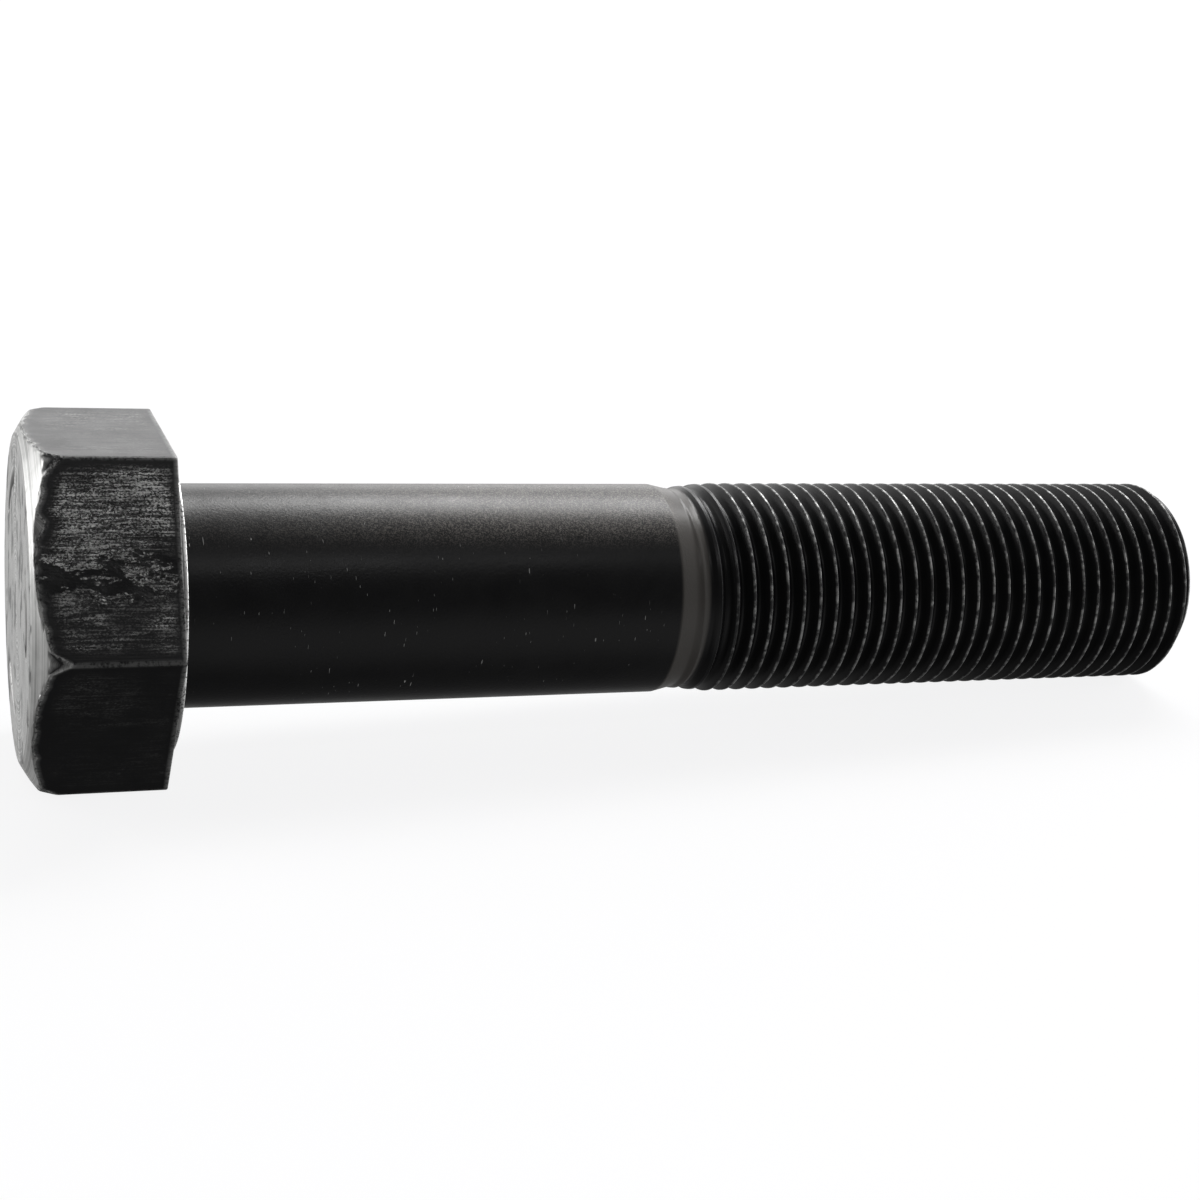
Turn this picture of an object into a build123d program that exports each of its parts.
from build123d import *

import os
from math import ceil, cos, pi, radians, sin, tan

# Hex bolt, M24 x 2 fine thread, 120 mm long. Millimetres and degrees.
# The axis lies along +X, with the origin at the centre of the bearing face under the head, the head
# towards -X and the tip at +X. The hexagon has a flat up and a flat down, so the bolt lies on a flat.
# Angles about the axis are counted from +Y towards +Z.

# Head
across_flats = 35.4
head_height = 15.0  # bearing face to the top of the head
corner_rounding = 0.6
crown_inset = 0.8  # from the flats in to the round flat top
crown_angle = 30.0  # top chamfer, from the flat top
corner_bevel = 0.64  # radius that the steeper bevel takes off the sharp corners
corner_bevel_angle = 72.0
washer_face_inset = 1.1  # from the flats in to the rim of the washer face
washer_face_height = 0.6
washer_face_chamfer = 0.15

# Plain curved bars sunk into the top of the head, evenly spaced about the axis
mark_count = 3
mark_arc = 42.0
mark_width = 1.2
mark_depth = 0.3
mark_inset = 4.4  # from the rim of the flat top in to the middle of a bar
first_mark_angle = 170.0

# Shank
length = 120.0  # bearing face to tip
shank_undersize = 0.25  # diameter, against the thread's crests
under_head_fillet = 1.0

# Thread, right-handed, 60 degree V
thread_diameter = 23.85  # over the crests
pitch = 2.0
thread_length = 64.0  # tip to the start of the run-out
runout_pitches = 2.5  # the thread fades in over this many pitches
neck_length = 2.0  # the shank tapers to the rolling blank over this length
blank_above_pitch_line = 0.075  # radius
thread_end_angle = 95.0  # where a crest meets the end of the bolt
tip_inset = 0.08  # end circle inside the thread's root

# Worked out from the sizes above
flat_radius = across_flats / 2
corner_radius = flat_radius / cos(radians(30))
crown_radius = flat_radius - crown_inset
washer_face_radius = flat_radius - washer_face_inset
crest_radius = thread_diameter / 2
shank_radius = crest_radius - shank_undersize / 2
sharp_height = pitch * cos(radians(30))  # of the V before its crest and root are flattened
thread_depth = 17 / 24 * sharp_height
root_radius = crest_radius - thread_depth
blank_radius = crest_radius - 3 / 8 * sharp_height + blank_above_pitch_line
crest_width = pitch / 8
flank_width = thread_depth * tan(radians(30))  # along the axis
tip_radius = root_radius - tip_inset
thread_start = length - thread_length
thread_full = thread_start + runout_pitches * pitch


def turned(points):
    """A solid turned about the X axis from a closed outline of (x, radius) points."""
    return revolve(make_face(Polyline(points, close=True)), Axis.X)


def hexagon():
    """The hexagonal prism, cut to the top chamfer and to the steeper cone that bevels its corners."""
    top = -head_height
    under = -washer_face_height
    bevel_radius = corner_radius - corner_bevel
    bevel_x = top + (bevel_radius - crown_radius) * tan(radians(crown_angle))
    corner_x = bevel_x + corner_bevel * tan(radians(corner_bevel_angle))
    section = Plane.YZ * RegularPolygon(flat_radius, 6, major_radius=False)
    prism = Pos(under, 0, 0) * extrude(section, under - head_height)
    prism = fillet(prism.edges().filter_by(Axis.X), corner_rounding)
    cones = turned(
        [
            (top, 0),
            (top, crown_radius),
            (bevel_x, bevel_radius),
            (corner_x, corner_radius),
            (under, corner_radius),
            (under, 0),
        ]
    )
    return prism & cones


def washer_face():
    """The round pad under the hexagon, its rim broken, whose flat ring is the bearing face."""
    inside = -washer_face_height - 1
    return turned(
        [
            (inside, 0),
            (inside, washer_face_radius),
            (-washer_face_chamfer, washer_face_radius),
            (0, washer_face_radius - washer_face_chamfer),
            (0, 0),
        ]
    )


def under_head_corner():
    """The concave ring that rounds the corner between the bearing face and the shank."""
    on_face = (0, shank_radius + under_head_fillet)
    on_shank = (under_head_fillet, shank_radius)
    foot = (under_head_fillet, 0)
    arc = RadiusArc(on_face, on_shank, -under_head_fillet)
    outline = [Line((0, 0), on_face), arc, Line(on_shank, foot), Line(foot, (0, 0))]
    return revolve(make_face(outline), Axis.X)


def shank():
    """Plain shank, its taper to the rolling blank, and the groove bottom falling away in the run-out."""
    return turned(
        [
            (-washer_face_height, 0),
            (-washer_face_height, shank_radius),
            (thread_start - neck_length, shank_radius),
            (thread_start, blank_radius),
            (thread_full, tip_radius),
            (thread_full, 0),
        ]
    )


def around(x, radius, turn):
    """The point at a place along the axis, a radius and an angle about the axis."""
    return x, radius * cos(radians(turn)), radius * sin(radians(turn))


def helix(start, radius):
    """One right-handed turn from the thread's own angle on: a spline through evenly spaced points,
    its ends along the exact helix, so that the next turn carries on smoothly."""
    steps = 24
    turns = [thread_end_angle + 360 * i / steps for i in range(steps + 1)]
    points = [around(start + pitch * i / steps, radius, turn) for i, turn in enumerate(turns)]
    _, y, z = points[0]
    along = (pitch / (2 * pi), -z, y)
    angles = [radians(turn) for turn in turns]
    return Edge.make_spline(points, [along, along], parameters=angles, scale=False)


def thread_closing(start, profile, edge):
    """Two faces that close an end of the thread: the helicoid from the axis out to the last helix, and
    the flat half-plane section between the two ends of that helix."""
    axis = Edge.make_line((start, 0, 0), (start + pitch, 0, 0))
    outline = [(0, 0), *profile, (pitch, 0)]
    corners = [around(start + along, radius, thread_end_angle) for along, radius in outline]
    section = make_face(Polyline(corners, close=True))
    return [Face.make_surface_from_curves(axis, edge), section.face()]


def thread():
    """The threaded end: ruled bands between helices, turn by turn, closed at both ends into a solid
    longer than the thread and trimmed to the run-out and the tip."""
    flank_foot = crest_width + flank_width
    profile = [
        (0, crest_radius),
        (crest_width, crest_radius),
        (flank_foot, root_radius),
        (pitch - flank_width, root_radius),
        (pitch, crest_radius),
    ]
    turns = ceil(thread_length / pitch) + 3
    end = length + pitch - crest_width / 2
    starts = [end - (turns - i) * pitch for i in range(turns)]
    helices = [helix(x + along, radius) for x in starts for along, radius in profile[:-1]]
    helices.append(helix(end, crest_radius))
    faces = [Face.make_surface_from_curves(a, b) for a, b in zip(helices, helices[1:])]
    faces += thread_closing(starts[0], profile, helices[0])
    faces += thread_closing(end, profile, helices[-1])
    clear = thread_depth / 10
    fade = (crest_radius - blank_radius) / (thread_full - thread_start)
    lead = clear / fade
    return Solid(Shell(faces)) & turned(
        [
            (thread_start - lead, 0),
            (thread_start - lead, blank_radius - 2 * clear),
            (thread_full + lead, crest_radius + clear),
            (length - (crest_radius + clear - tip_radius), crest_radius + clear),
            (length, tip_radius),
            (length, 0),
        ]
    )


def head_marks():
    """Plain curved bars to sink into the top of the head, each an arc about the axis."""
    middle = crown_radius - mark_inset
    section = Pos(-head_height, middle, 0) * Rectangle(2 * mark_depth, mark_width)
    turns = [first_mark_angle - mark_arc / 2 + i * 360 / mark_count for i in range(mark_count)]
    return [revolve(Rot(turn, 0, 0) * section, Axis.X, mark_arc) for turn in turns]


def hex_bolt():
    """The whole bolt: one forging with its rolled thread."""
    head = hexagon() + washer_face() - head_marks()
    return head + under_head_corner() + shank() + thread()


os.makedirs("parts", exist_ok=True)
export_step(hex_bolt(), "parts/hex_bolt.step")
